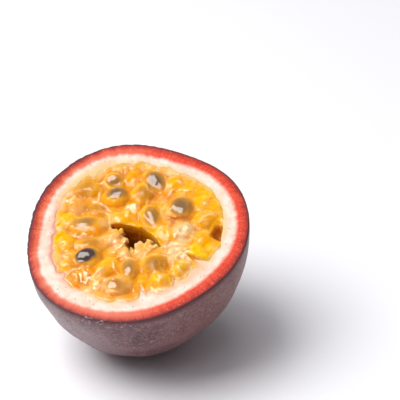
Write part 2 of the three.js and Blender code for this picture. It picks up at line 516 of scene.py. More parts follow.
def shape_peel(points, depth):
    """The round form with the marks of the cut and the unevenness of a real peel."""
    x, y, z = points.T
    bearing = np.arctan2(y, x)
    out = np.hypot(x, y)
    on_skin = depth < 0.01
    at_cut = (depth > 0) & (z > -1.2)
    # The knife leaves the red rind a little proud, with a shallow groove where the pith begins.
    from_border = depth - rind_depth(bearing)
    bulge = RIND_PROUD * smoothstep(-2.6, -1.2, from_border) * (1 - smoothstep(-0.5, 0.1, from_border))
    rough = relief(points, 0.55, 4) + 0.6 * relief(points, 0.28, 7)
    z = z + at_cut * (bulge + KNIFE_MARKS * rough - 0.03)
    # The hollow's edge wavers and dips, and spikes of pith stand out from it over the pulp.
    inside = smoothstep(4.6, WALL, depth)
    dip = EDGE_DIP * np.clip(0.4 + relief(ring(bearing, 0.15 * z), 0.4, 15), 0, 1.4)
    reach = spike_reach(bearing) * smoothstep(-3.6, -1.4, z)
    width = ledge_width(bearing)
    sloped = 1 - smoothstep(0, 1, (z + 0.25) / (0.06 + 0.45 * np.maximum(width, 0)) + 1)
    out = out - inside * width * smoothstep(-4.5, -1.3, z) * sloped
    out = out + inside * (edge_waver(bearing, z) - reach)
    z = z - inside * (z > -1.5) * (dip + 0.12 * reach)
    # The skin: broad soft undulations, small dents, and a torn edge at the cut.
    broad = relief(points, 9.0, 21) * 0.16 + relief(points, 3.2, 25) * 0.05
    torn = relief(points, 1.4, 31) + 0.8 * relief(points, 0.6, 33) - 0.25
    torn = np.minimum(0.05, (0.06 + 0.16 * around(bearing, 150, 90)) * torn)
    torn = torn * smoothstep(-1.2, -0.3, z) * (depth < 1.0)
    out = out + on_skin * np.minimum(broad - 0.1, 0.0) * (out > 3) * smoothstep(-0.5, -3.0, z) + torn
    return np.column_stack([out * np.cos(bearing), out * np.sin(bearing), z])


def near_to(form, middle, radius, core=0.0):
    """1 within the core's share of the radius round a place, falling to 0 at the radius."""
    return 1 - smoothstep(core, 1.0, np.linalg.norm(form - middle, axis=1) / radius)


def dented(form, on_skin):
    """The fruit's form with its soft hollows and swellings pressed into the skin."""
    form = form.copy()
    out = np.maximum(np.hypot(form[:, 0], form[:, 1]), 1.0)
    for middle, radius, push in DENTS:
        form[:, :2] *= (1 - on_skin * push * near_to(form, middle, radius) / out)[:, None]
    return form


def build_peel():
    peel = spun("peel_dressed", peel_section(), SPIN_STEPS)
    round_form = places(peel)
    depth = stored(peel, "depth")
    form = dented(as_fruit(shape_peel(round_form, depth)), depth < 0.01)
    bearing = np.arctan2(round_form[:, 1], round_form[:, 0])
    form_bearing = np.arctan2(form[:, 1], form[:, 0])
    lower = smoothstep(-1.0, -7.0, form[:, 2]) * smoothstep(-30.0, -14.0, form[:, 2])
    painted = {
        "rind": rind_depth(bearing),
        "pale_side": np.maximum(around(bearing, -122, 58), 0.5 * around(bearing, 108, 42)),
        "orange_side": around(bearing, 162, 72),
        "deep_side": np.maximum(around(bearing, 150, 56), 0.5 * around(bearing, 70, 35)),
        "ragged": around(bearing, 160, 90),
        "yellowed": around(bearing, 128, 40),
        "skin_line": 0.34 + 0.4 * around(bearing, 146, 52),
        "blush": np.maximum(around(bearing, -172, 58), 0.5 * around(bearing, -62, 45)),
        "scuffed": np.max([near_to(form, middle, radius, 0.3) for middle, radius in SCUFFS], axis=0),
        # painted sheen: the skin low on the front left is painted paler and greyer
        "painted_sheen": lower * around(form_bearing, -135, 45),
        "ruddy": around(form_bearing, -30, 60),
        # painted sheen: grey patches low on the left edge
        "painted_edge_sheen": 0.8 * lower * around(form_bearing, -168, 48),
    }
    for name, values in painted.items():
        store(peel, name, values)
    row = to_row(form)
    row[:, 2] = np.maximum(row[:, 2], 0)
    move_to(peel, row)
    bpy.ops.object.shade_smooth()
    return peel


# ---------------------------------------------------------------- the peel's look


def skin_colour(make, place, mottle):
    """Mauve-brown, mottled, with painted sheen low on the left, pale pores, dark flecks and scuffs."""
    colour = make.mix(make.ramp(mottle, 0.35, 0.65), "634147", "7f5c60")
    colour = make.mix(make.times(make.painted("ruddy"), 0.5), colour, "9c6a62")
    # Painted sheen: paler, greyer skin low on the front left.
    colour = make.mix(make.times(make.painted("painted_sheen"), 0.65), colour, "9b898c")
    # Painted sheen: grey patches along the lower left edge.
    patchy = make.plus(make.times(make.grain(place, 1.6, detail=4, shift=5), 0.8), 0.2)
    colour = make.mix(make.times(make.painted("painted_edge_sheen"), patchy), colour, "b8aca9")
    colour = make.mix(make.ramp(make.grain(place, 1.1, detail=4), 0.45, 0.75), colour, "9a7674")
    dark_fleck = make.ramp(make.grain(place, 0.55, detail=1, shift=3), 0.54, 0.7)
    colour = make.mix(make.times(dark_fleck, 0.7), colour, "4a2c33")
    pore = make.ramp(make.spots(place, 0.95), 0.2, 0.08)
    colour = make.mix(make.times(pore, 0.8), colour, "b39898")
    edge_dark = make.ramp(make.node("SeparateXYZ", {0: place}, "Z"), -3.0, -0.4)
    colour = make.mix(make.times(edge_dark, 0.9), colour, "5a2429")
    scratch = make.ramp(make.grain(place, 0.7, detail=2, shift=21), 0.56, 0.64)
    scratch = make.times(scratch, make.painted("scuffed"))
    return make.mix(make.times(scratch, 0.6), colour, "b9a3a3")


def rind_colour(make, place, inwards, streak):
    """From the dark skin line through red to coral inwards, streaked and flecked."""
    pale_side = make.painted("pale_side")
    outer = make.mix(streak, "ae2819", "cb3c26")
    outer = make.mix(make.times(pale_side, 0.6), outer, "c2503a")
    inner = make.mix(streak, "d63a22", "df5036")
    inner = make.mix(make.painted("orange_side"), inner, "df6840")
    inner = make.mix(pale_side, inner, "df765d")
    red = make.mix(make.ramp(inwards, 0.5, 2.0), outer, inner)
    deep = make.times(make.painted("deep_side"), make.ramp(inwards, 2.4, 0.4))
    red = make.mix(make.times(deep, 0.8), red, "982415")
    fleck = make.ramp(make.grain(place, 0.45, detail=1, shift=8), 0.58, 0.72)
    red = make.mix(make.times(fleck, 0.4), red, "ee8c74")
    return make.mix(make.ramp(inwards, 0.75, 0.1), red, "862c28")


def pith_colour(make, place, depth, mottle):
    """White, pink along the hollow, yellowed at one side, with small grey-pink strands."""
    cloud = make.grain(place, 2.6, detail=3, shift=12)
    pith = make.mix(make.ramp(cloud, 0.35, 0.65), "e3c8b4", "ebdccf")
    yellowed = make.times(make.painted("yellowed"), make.ramp(depth, 3.8, 6.4))
    pith = make.mix(yellowed, pith, "e9bc74")
    blot = make.ramp(make.grain(place, 0.6, detail=2, shift=14), 0.52, 0.75)
    pith = make.mix(make.times(blot, 0.35), pith, "e9bcaa")
    pith = make.mix(make.ramp(make.spots(place, 1.3), 0.17, 0.08), pith, "b9806f")
    rim = make.plus(depth, make.times(make.minus(mottle, 0.5), 3.0))
    stain = make.mix(make.painted("blush"), "f0c48c", "e8a294")
    return make.mix(make.times(make.ramp(rim, WALL - 1.4, WALL), 0.9), pith, stain)


def peel_shading(make):
    place = make.fruit_place()
    depth = make.painted("depth")
    skin_line = make.painted("skin_line")
    mottle = make.grain(place, 7.0, detail=3)
    rim_place = make.rim_place(place, depth)
    teeth = make.minus(make.grain(rim_place, 1.6, detail=6), 0.5)
    stray = make.times(teeth, make.plus(make.times(make.painted("ragged"), 0.9), 1.2))
    streak = make.ramp(make.grain(rim_place, 0.8, detail=3, shift=5), 0.36, 0.66)
    under_skin = make.minus(depth, skin_line)
    red = rind_colour(make, place, make.plus(under_skin, stray), streak)
    rind_share = make.ramp(make.plus(under_skin, make.times(teeth, 0.6)), -0.1, 0.2)
    colour = make.mix(rind_share, skin_colour(make, place, mottle), red)
    # The pith begins at a toothed border, with a pink line along it.
    border = make.minus(make.plus(depth, stray), make.painted("rind"))
    colour = make.mix(make.ramp(border, -0.65, 0.15), colour, "e58d78")
    colour = make.mix(make.ramp(border, -0.25, 0.75), colour, pith_colour(make, place, depth, mottle))
    height = make.plus(make.grain(place, 0.7, detail=3), make.grain(place, 2.4, shift=2))
    return {
        "Base Color": colour,
        "Roughness": make.plus(make.times(make.ramp(depth, 0.1, 0.5), 0.1), 0.42),
        "Normal": make.bumps(height, distance=0.12 * MM, strength=0.6),
        "Specular IOR Level": 0.3,
        "Subsurface Weight": 0.25,
        "Subsurface Radius": (1.0, 0.5, 0.35),
        "Subsurface Scale": 0.8 * MM,
    }


# ---------------------------------------------------------------- the pulp's parts

BED_TOP = 0.7
BED_SAG = 0.9
BED_SPARE = 1.6  # how far the bed reaches beyond the hollow's wall before it is cut
BED_STEPS, BED_RINGS, BED_SPIN = 24, 8, 96
HOLLOW_ABOVE = 4.0
HOLLOW_STEPS, HOLLOW_SPIN = 60, 360
SAC = (8.8, 6.9, 7.0)  # length along a radius of the cut, width, height
PILLOW = 0.72  # the lower, the flatter a sac's top
STALK_TAPER = 0.3
SAC_COLOUR_EDGE = 7  # the higher, the more sharply one sac's colour gives way to the next one's
HALO_SPREAD = 2.6  # how much longer and wider than a seed the tan flesh round it is

# The heap is worked out on a grid, first coarse and at last fine, and smoothed each time.
COARSE, FINE = 0.36, 0.24
COARSE_ROUNDS, FINE_ROUNDS = 14, 3
SMOOTHING = 0.5
HIDDEN_BELOW = -6  # the underside lies against the peel, so from here down it needs only a coarse surface
HIDDEN_SHARE = 0.45

# How many rounds even the surface out into a point's surroundings, and how far above them it is fully proud.
PROUD_ROUNDS = 40
PROUD_MOST = 0.35

PEACH = linear("eaa618")
YELLOW = linear("eeaa00")
BRIGHT = linear("f4b400")
GOLD = linear("ffc200")
ORANGE = linear("e09000")
PALE = linear("efb974")
GREY = linear("dcbd86")
# A brown for painted shadow beside the clear seed's sac.
PAINTED_SHADE_BROWN = linear("c07006")
MILKY = linear("f5caa0")
BRONZE = linear("d28a26")
CREAM = linear("f6cfa8")
DEEP = linear("e88c00")
EMBER = linear("ea7200")
PINK = linear("f8ca9c")
# A red-brown for painted shadow: under the clear seed's sac and in the gap at the right edge.
PAINTED_SHADE_RED = linear("b04e00")

# How a seed shows through the flesh over it: how dark it looks, and how far its edge is blurred.
FAINT = (0.29, 0.9)
DIM = (0.32, 0.85)
HAZY = (0.4, 0.85)
SOFT = (0.46, 0.75)
CLEAR = (0.68, 0.7)
STRONG = (0.74, 0.7)
BARE = (1.0, 0.25)
UNDER_FLESH = (FAINT, HAZY)  # too deep for the flesh over them to stand out and glint


class Sac:
    """One seed sac: its ring, bearing in degrees, colour, and how it differs from the rest."""

    def __init__(self, ring, bearing, colour, out=0.0, turn=0.0, long=1.0, wide=1.0, top=0.0):
        radius, level = ring
        bearing = math.radians(bearing)
        self.x = (radius + out) * math.cos(bearing)
        self.y = (radius + out) * math.sin(bearing)
        self.turn = bearing + math.radians(turn)
        self.size = np.array(SAC) * (long, wide, 1)
        self.top = level + top
        self.colour = colour


# The rings that the sacs lie in: radius, and the height of the sacs' tops.
OUTER = (18.7, 0.3)
MIDDLE = (13.0, 0.4)
INNER = (6.6, 0.2)

SACS = [
    Sac(OUTER, -172, YELLOW, long=0.9),
    Sac(OUTER, -153, YELLOW, top=-0.3, turn=20),
    Sac(OUTER, -134, ORANGE, top=-0.5, turn=-15),
    Sac(OUTER, -118, PALE, top=-0.2, turn=30),
    Sac(OUTER, -102, PALE, turn=-40, long=1.15, wide=1.1, top=0.3),
    Sac(OUTER, -84, ORANGE, top=-0.6),
    Sac(OUTER, -66, YELLOW, turn=10, wide=0.9),
    Sac(OUTER, -48, YELLOW, turn=-25),
    Sac(OUTER, -29, BRIGHT, top=0.2, wide=1.1),
    Sac(OUTER, -13, PEACH, turn=8),
    Sac(OUTER, 7, PEACH, turn=12, top=0.4),
    Sac(OUTER, 24, BRIGHT, out=0.8, long=0.95, wide=1.1),
    Sac(OUTER, 41, YELLOW, top=-0.3, turn=-20),
    Sac(OUTER, 56, PEACH, turn=20),
    Sac(OUTER, 73, PEACH, out=-1.5, turn=55, long=1.1, top=0.4),
    Sac(OUTER, 91, ORANGE, top=-0.4),
    Sac(OUTER, 109, PEACH, turn=-20, long=0.95),
    Sac(OUTER, 130, PEACH, out=1.2, turn=70, top=0.2),
    Sac(OUTER, 148, PALE, top=-0.2, turn=-25),
    Sac(OUTER, 167, YELLOW, turn=15, top=0.2),
    Sac(MIDDLE, -163, PEACH, out=-1.2, turn=-17, long=1.3, top=-0.2),
    Sac(MIDDLE, -146, PEACH, out=1.5, turn=-22, top=0.2),
    Sac(MIDDLE, -120, PEACH, turn=-25, top=-0.2),
    Sac(MIDDLE, -95, YELLOW, wide=0.9),
    Sac(MIDDLE, -66, PEACH, wide=1.15, top=0.2),
    Sac(MIDDLE, -37, GREY, out=2.0, turn=10, top=-0.1),
    Sac(MIDDLE, -6, GREY, turn=-30, top=0.1),
    Sac(MIDDLE, 27, PEACH, turn=40, wide=1.15, top=0.6),
    Sac(MIDDLE, 53, ORANGE, top=-0.9),
    Sac(MIDDLE, 81, PEACH, turn=-15, long=1.1),
    Sac(MIDDLE, 115, YELLOW, turn=62, wide=1.1, top=0.1),
    Sac(MIDDLE, 143, ORANGE, top=-0.7),
    Sac(MIDDLE, 170, PEACH, turn=4, long=1.45, wide=1.1, top=0.6),
    Sac(INNER, -162, PALE, turn=-10, top=-0.1),
    Sac(INNER, -112, PALE, turn=15, top=-0.3),
    Sac(INNER, -66, GREY, turn=20, top=-0.9),
    Sac(INNER, -14, BRIGHT, out=2.0, turn=-35, top=0.1),
    Sac(INNER, 41, YELLOW, out=-0.6, turn=60, long=1.15, top=0.5),
    Sac(INNER, 94, YELLOW, turn=-20, top=-0.2),
    Sac(INNER, 137, YELLOW, turn=10, top=-0.5),
]

# The seeds that show: place, length, width, turn in degrees and look, then the glint on the wet skin above,
# as its place from the seed's middle and the roundness of the skin along and across the seed.
SEEDS = [
    (-12.2, -7.9, 5.5, 3.7, 12, BARE, (-1.0, 0.0), 10.0, 5.5),
    (-5.7, 17.2, 3.6, 3.2, -15, SOFT, (-1.2, 1.0), 6.0, 5.0),
    (-5.0, 12.5, 4.6, 3.6, 0, STRONG, (-0.6, -1.0), 9.0, 4.0),
    (5.3, 16.0, 5.4, 3.8, -52, STRONG, (-0.6, 0.2), 9.5, 4.2),
    (12.2, 6.3, 4.8, 5.0, 30, CLEAR, (-0.9, -0.5), 7.0, 7.0),
    (4.6, 3.9, 3.4, 5.2, 16, SOFT, (-0.5, 0.3), 2.0, 10.0),
    (-13.0, 2.7, 5.6, 3.8, 0, SOFT, (-0.4, -1.0), 14.0, 2.8),
    (-11.3, -3.4, 5.0, 3.0, -8, FAINT, (-1.0, 1.0), 6.0, 4.0),
    (-4.4, -17.9, 5.0, 3.6, -25, DIM, (-1.4, -1.0), 9.0, 5.0),
    (-1.1, -12.4, 3.2, 4.6, 5, SOFT, (-0.2, -2.0), 4.0, 6.0),
    (5.3, -11.9, 4.4, 4.4, 10, HAZY, (0.0, -1.8), 6.0, 6.0),
    (-13.5, 15.3, 4.6, 3.6, 20, FAINT, (-0.8, -0.8), 6.0, 6.0),
    (2.2, 12.0, 4.0, 4.4, 20, FAINT, (-0.8, -0.8), 6.0, 6.0),
    (-11.2, 8.3, 4.4, 2.6, 0, FAINT, (0.0, 0.4), 6.0, 4.0),
]

# The slope, up to the right and to the back, at which a seed's wet skin mirrors the key light to the camera.
GLINT_SLOPE = (0.187, 0.281)

# Torn edges of sac skin that stand up as pale ridges: a path, the width and height of the ridge.
RIDGES = [
    (((-12.3, 12.0), (-10.3, 10.6), (-9.3, 12.6), (-9.0, 14.4)), 0.45, 0.5),
    (((-11.0, 10.8), (-8.7, 9.4), (-5.8, 6.8)), 0.5, 0.6),
    (((2.4, 14.8), (3.6, 12.8), (5.9, 11.1)), 0.35, 0.6),
    (((8.6, 10.4), (9.6, 11.8), (10.8, 12.8)), 0.45, 0.5),
    (((-9.9, 16.6), (-8.4, 16.7), (-7.4, 15.5)), 0.5, 0.5),
    (((-3.8, 16.2), (-2.6, 17.4), (-1.6, 15.6)), 0.35, 0.4),
    (((-2.8, 7.0), (-1.6, 8.3), (0.4, 7.6), (0.2, 6.0)), 0.5, 0.55),
    (((-16.4, 0.0), (-14.6, -1.3), (-12.0, -1.0)), 0.4, 0.5),
    (((-15.6, 2.0), (-13.0, 2.4), (-11.3, 2.1)), 0.35, 0.35),
    (((-10.4, -14.8), (-9.0, -13.2), (-7.3, -12.2)), 0.4, 0.55),
    (((-12.4, -16.6), (-11.2, -14.8), (-10.2, -15.4)), 0.35, 0.5),
    (((-8.8, -17.0), (-7.6, -15.6), (-5.6, -15.4), (-3.4, -16.6)), 0.45, 0.45),
    (((-6.6, -19.6), (-4.6, -20.2), (-2.6, -20.6)), 0.5, 0.4),
    (((2.2, -9.6), (3.4, -7.4), (4.6, -6.8)), 0.4, 0.4),
    (((-2.4, -8.8), (0.2, -9.6), (2.2, -9.0)), 0.5, 0.4),
    (((-4.2, -0.8), (-2.4, -0.2), (-1.9, -2.0)), 0.5, 0.6),
    (((-5.6, -6.0), (-3.4, -5.6), (-1.6, -3.2)), 0.5, 0.5),
    (((11.2, -1.8), (12.4, -3.8), (13.8, -4.4)), 0.4, 0.45),
    (((13.2, -0.6), (14.4, -1.4), (15.2, -1.0)), 0.45, 0.5),
    (((11.8, -8.8), (13.2, -9.6), (14.2, -8.6)), 0.4, 0.45),
    (((16.2, 5.2), (17.0, 4.8), (17.6, 3.6)), 0.35, 0.35),
    (((17.2, 1.4), (18.6, 2.2), (20.4, 2.4)), 0.35, 0.4),
    (((16.9, 0.6), (18.4, 1.2), (19.6, 1.3)), 0.3, 0.3),
    (((18.0, 6.4), (18.6, 7.2), (19.2, 6.4)), 0.4, 0.4),
    (((9.4, -14.0), (10.4, -12.4), (10.2, -10.8)), 0.35, 0.4),
    (((11.6, -13.2), (12.0, -14.6), (12.6, -15.4)), 0.4, 0.5),
    (((7.0, -15.4), (7.6, -17.2), (8.8, -17.8)), 0.35, 0.4),
    (((13.6, -11.6), (14.8, -12.6), (15.6, -13.6)), 0.35, 0.4),
    (((-18.6, 3.4), (-17.6, 2.6), (-16.8, 3.6)), 0.45, 0.45),
    (((-19.0, -6.6), (-17.4, -7.6), (-16.0, -8.6)), 0.45, 0.4),
    (((-16.6, -12.0), (-14.8, -11.4), (-12.2, -11.4)), 0.35, 0.5),
    (((-15.8, -12.4), (-14.2, -14.2), (-14.4, -16.2)), 0.35, 0.5),
    (((-13.2, -12.0), (-11.6, -13.4), (-11.8, -15.6)), 0.35, 0.5),
    (((-18.6, 13.4), (-17.0, 13.6), (-15.8, 12.2)), 0.45, 0.4),
    (((-18.8, 11.4), (-17.4, 10.8), (-16.2, 11.4)), 0.45, 0.4),
    (((11.2, 15.6), (12.4, 14.4), (13.4, 14.8)), 0.35, 0.35),
    (((12.6, 12.6), (13.6, 11.6), (15.0, 12.0)), 0.35, 0.35),
    (((1.6, 2.6), (1.4, 5.2), (3.6, 9.6), (6.4, 8.8)), 0.3, 0.25),
    (((6.4, 8.8), (7.2, 5.0), (8.8, 1.0), (9.4, -3.6)), 0.3, 0.25),
    (((-13.0, 6.8), (-8.4, 7.0), (-6.4, 5.4), (-6.8, 2.2), (-8.4, 0.6)), 0.3, 0.25),
    (((-5.2, -9.4), (-4.0, -8.0), (-0.4, -8.6)), 0.3, 0.25),
    (((-5.4, -9.8), (-4.8, -12.6), (-3.4, -15.0)), 0.3, 0.25),
    (((2.4, -8.2), (5.6, -7.8), (9.0, -9.4), (9.8, -12.0)), 0.3, 0.25),
    (((9.0, 8.0), (9.6, 9.6), (12.4, 10.4), (15.6, 8.6)), 0.3, 0.2),
    (((2.4, 17.6), (4.0, 19.4), (7.6, 17.8), (8.8, 14.4)), 0.3, 0.2),
]

# Patches where the flesh lies in small crumpled folds: place, radius and height of the folds.
CRUMPLED = [
    (-14.0, -13.5, 3.5, 0.55),
    (-18.0, 12.0, 2.6, 0.4),
    (-18.0, -7.0, 2.4, 0.35),
    (-4.0, -3.6, 2.6, 0.4),
    (12.6, -3.0, 2.8, 0.4),
    (13.0, -9.0, 2.6, 0.4),
    (8.5, -16.2, 4.5, 0.3),
    (13.5, -13.5, 2.6, 0.3),
    (-10.5, -17.0, 2.4, 0.4),
    (-1.0, 7.2, 2.2, 0.4),
    (12.8, 13.6, 2.6, 0.35),
    (9.5, -6.5, 2.4, 0.35),
    (-17.0, 3.0, 1.8, 0.3),
]

# Colour laid over the flesh in soft patches, a few of them painted shadow and painted highlight: place,
# length, width, turn in degrees, colour, strength.
PATCHES = [
    (-6.0, 18.0, 9, 6, -15, PEACH, 0.8),
    (-8.5, 20.0, 5, 3, 30, PALE, 0.8),
    (-3.6, 20.2, 4, 2, -10, BRONZE, 0.7),
    (5.3, 16.0, 8, 6.4, -52, PEACH, 0.9),
    (1.2, 13.0, 6, 5, 60, PEACH, 0.8),
    (2.4, 12.0, 4, 4, 0, BRONZE, 0.4),
    (-13.8, 15.8, 8, 6, 35, BRONZE, 0.55),
    (-16.0, 17.0, 4, 4, 45, PALE, 0.6),
    (-18.2, 12.4, 5, 4, 60, PALE, 0.9),
    (-5.4, 12.0, 7, 5.6, 0, YELLOW, 0.8),
    (-3.6, 8.0, 4, 3.4, 0, DEEP, 0.7),
    (-3.2, 15.2, 3, 2.4, 0, DEEP, 0.8),
    (0.2, 17.6, 4, 2.6, 0, DEEP, 0.8),
    (3.6, 20.4, 7, 2.6, -10, BRIGHT, 0.5),
    (5.8, 20.0, 4, 2, -10, DEEP, 0.5),
    (9.8, 18.0, 4, 3, -40, PINK, 0.6),
    (7.6, 10.6, 5, 2.8, -10, EMBER, 0.75),
    (9.6, 13.6, 4, 4, 0, BRIGHT, 0.8),
    (12.6, 13.2, 5, 4, -45, BRIGHT, 0.9),
    (-14.8, 9.8, 6, 3.6, 30, DEEP, 0.7),
    (-10.8, 8.2, 5, 2.6, 0, BRONZE, 0.6),
    (-9.6, 5.6, 9, 2.6, 5, PEACH, 0.7),
    (-7.4, 3.0, 4, 5, 0, PALE, 0.6),
    (-13.0, 4.0, 7, 3.2, 0, BRONZE, 0.4),
    (-17.6, 3.8, 4, 5, 0, BRIGHT, 0.9),
    (-9.6, -0.6, 11, 2.4, 4, DEEP, 0.85),
    (-10.0, -4.4, 6, 2, -4, DEEP, 0.5),
    (-18.0, -3.0, 4.6, 5, 0, BRIGHT, 0.9),
    (-16.0, -2.0, 3, 4, 0, YELLOW, 0.7),
    (-12.0, -3.6, 8, 3, -4, BRONZE, 0.55),
    (-6.5, -2.8, 7, 3, -4, PALE, 0.7),
    (-4.2, -4.2, 4.4, 5, 30, CREAM, 0.6),
    (-7.0, -7.0, 6, 6, 0, PEACH, 0.8),
    (-11.0, -10.8, 6, 2, 0, YELLOW, 0.7),
    (-18.0, -7.6, 4, 3.6, 0, PALE, 0.6),
    (-17.8, -12.2, 4, 2.4, -10, YELLOW, 0.7),
    (-14.0, -13.4, 6, 5, -60, DEEP, 0.75),
    (-15.0, -17.0, 6, 2.4, -30, EMBER, 0.9),
    (-5.0, -11.0, 8, 4, -60, PEACH, 0.8),
    (-6.0, -17.8, 8, 5, -15, PALE, 0.8),
    (-1.2, -19.4, 4, 5, 0, BRONZE, 0.7),
    (-3.4, -21.4, 9, 2, -8, DEEP, 0.7),
    (-1.2, -11.0, 6, 4.6, 0, PEACH, 0.8),
    (2.6, -13.8, 3.6, 5, 0, BRIGHT, 0.95),
    (5.2, -10.6, 8, 6, 0, PEACH, 0.7),
    (1.6, -8.8, 8, 2.6, 5, PALE, 0.5),
    (8.6, -11.4, 4, 4, 0, BRONZE, 0.45),
    (5.0, -7.2, 5, 2, 10, BRIGHT, 0.6),
    (9.4, -6.8, 6, 4.5, -30, GREY, 0.8),
    (12.8, -3.0, 4, 5, 0, GREY, 0.85),
    (13.0, -8.6, 4, 5, 0, GREY, 0.85),
    (13.2, -2.8, 2, 2.6, 0, CREAM, 0.5),
    (13.2, -9.6, 2.4, 1.6, 0, CREAM, 0.5),
    (8.6, 1.0, 6, 5, 20, DEEP, 0.6),
    # Painted shadow under the clear seed's sac, and beside it to the right.
    (12.8, 2.5, 6.4, 3.0, 4, PAINTED_SHADE_RED, 0.9),
    (15.0, 5.0, 2.4, 6, 10, PAINTED_SHADE_BROWN, 0.85),
    # Painted highlight.
    (9.6, 4.9, 3, 2.2, -20, CREAM, 0.6),
    (12.0, 7.4, 8, 6, 0, PEACH, 0.7),
    (18.2, 8.6, 5, 6, 10, BRIGHT, 0.95),
    (18.6, 1.6, 6, 4.4, 10, PEACH, 0.85),
    (18.6, -4.4, 6, 4, 0, PEACH, 0.8),
    (16.6, -0.9, 3, 1.4, 0, DEEP, 0.6),
    (17.2, -8.0, 6, 5, 30, GOLD, 0.95),
    (13.4, -13.2, 5, 3.4, -30, BRIGHT, 0.7),
    (8.0, -17.4, 8, 4, 15, BRIGHT, 0.7),
    (4.0, -16.4, 4, 3, 0, BRIGHT, 0.7),
    (7.0, -20.4, 10, 2.6, 15, PINK, 0.7),
    (2.6, 5.6, 5, 5, 0, BRIGHT, 0.8),
    (6.4, 6.4, 4, 6, 30, BRIGHT, 0.5),
    (6.8, -1.2, 7, 5, -35, BRIGHT, 0.7),
    (8.4, -3.6, 5, 2, -35, DEEP, 0.5),
    (-1.6, 4.4, 7, 3.4, -15, YELLOW, 0.9),
    (1.6, 3.0, 6, 3, -35, DEEP, 0.5),
    # The next two patches are painted highlights.
    (-0.8, 7.2, 3.4, 2.8, 0, CREAM, 0.6),
    (-4.3, 3.9, 2, 1.5, 0, CREAM, 0.6),
    (7.0, -0.4, 1.5, 1.7, 0, CREAM, 0.7),
    # Painted shadow in the gap at the right edge.
    (22.0, -2.6, 3.4, 5.0, 0, PAINTED_SHADE_RED, 0.95),
    (-3.0, -2.4, 3.4, 4.4, 20, GREY, 0.75),
    (1.8, -5.0, 6.4, 3.2, -12, GREY, 0.75),
    (-1.4, -6.4, 3.0, 3.4, 0, GREY, 0.5),
]

CREVICE = {"from": (-6.4, 3.2), "to": (7.8, -6.2), "width": 4.4, "depth": 9.0}
SIDE_CLEFT = {"from": (-1.6, 0.0), "to": (-0.2, -8.0), "width": 2.8, "depth": 6.0}
EDGE_CLEFT = {"from": (21.8, 0.4), "to": (22.2, -5.8), "width": 3.6, "depth": 4.0}
OPEN_CLEFT = (22.2, -2.6, 5, 7, 0)  # kept open where the heap meets the wall: place, length, width and turn

# Clumps of flesh in the crevice: place and radius.
SHREDS = (
    ((5.0, -5.8, -1.8), 1.3),
    ((3.6, -4.6, -2.0), 1.5),
    ((1.4, -5.0, -2.6), 1.5),
    ((2.4, -3.4, -3.4), 1.0),
    ((-2.6, -3.2, -1.8), 1.2),
    ((-0.8, -5.4, -3.6), 1.4),
    ((1.6, -2.9, -5.6), 2.0),
    ((-3.8, 0.6, -3.0), 1.2),
)


def bed():
    """The body of the pulp up to a shallow dish, wider than the hollow that it is cut to."""
    inset = WALL - BED_SPARE
    quarter = math.pi / 2
    rim = math.asin(BED_TOP / (BODY_DEPTH - inset))
    points = [ellipse(inset, quarter + (rim - quarter) * i / BED_STEPS) for i in range(BED_STEPS + 1)]
    edge = points[-1][0]
    for i in range(1, BED_RINGS + 1):
        out = 1 - i / BED_RINGS
        points.append((edge * out, -BED_TOP - BED_SAG * (1 - out**2)))
    core = spun("bed", np.array(points), BED_SPIN)
    move_to(core, as_fruit(places(core)))
    return core


def sac_body(number, sac):
    """A plump sac with a flattish top, drawn out towards its stalk at the peel."""
    body = ball("sac", (2, 2, 2))
    p = places(body)
    p[:, 2] = np.sign(p[:, 2]) * np.abs(p[:, 2]) ** PILLOW
    p[:, 1] *= 1 - STALK_TAPER * p[:, 0]
    p *= sac.size / 2
    p = shaken(p, 3.2, 0.4, (number + 0.1, number + 0.4, number + 0.7))
    p[:, 2] += sac.top - sac.size[2] / 2
    move_to(body, turned_about(p, (sac.x, sac.y, 0), sac.turn))
    return body


def shred(number, place, radius):
    """A ragged clump of flesh that hangs in the crevice."""
    clump = ball("shred", (2.3 * radius, 1.5 * radius, 2.2 * radius))
    ragged = shaken(places(clump), 1.2, 0.7, (number + 0.2, number + 0.5, number + 0.8), octaves=3)
    move_to(clump, turned_about(ragged, place, number))
    return clump


def cleft(name, where, seed):
    """The room of a parting in the flesh, pointed at both ends and ragged on its front side."""
    (x0, y0), (x1, y1) = where["from"], where["to"]
    length = math.hypot(x1 - x0, y1 - y0)
    lens = ball(name, (length, where["width"], 2 * where["depth"]), segments=48, rings=32)
    p = places(lens)
    p[:, 1] *= 1.15 * (1 - np.abs(2 * p[:, 0] / length) ** 2.5)
    front = p[:, 1] < 0
    p[:, 1] += front * (1.1 * relief(p, 2.2, seed) + 0.7 * relief(p, 0.9, seed + 3))
    move_to(lens, turned_about(p, ((x0 + x1) / 2, (y0 + y1) / 2, 0), math.atan2(y1 - y0, x1 - x0)))
    return lens


def hollow_reach(bearing, height):
    """The pulp's greatest distance from the axis. Lower down it leaves a fine gap to the peel."""
    gap = PEEL_GAP - (OVERLAP + PEEL_GAP) * smoothstep(-8, -4, height)
    share = np.clip(-height / (BODY_DEPTH - WALL - gap), 0, 1)
    wall = (CUT_RADIUS - WALL - gap) * np.sqrt(1 - share**2)
    spikes = spike_reach(bearing) * smoothstep(-3.9, -1.7, height)
    ledge = ledge_width(bearing) * smoothstep(-4.8, -1.6, height)
    return wall + (edge_waver(bearing, np.minimum(height, 0)) - spikes - ledge) * smoothstep(0.1, 1, wall)


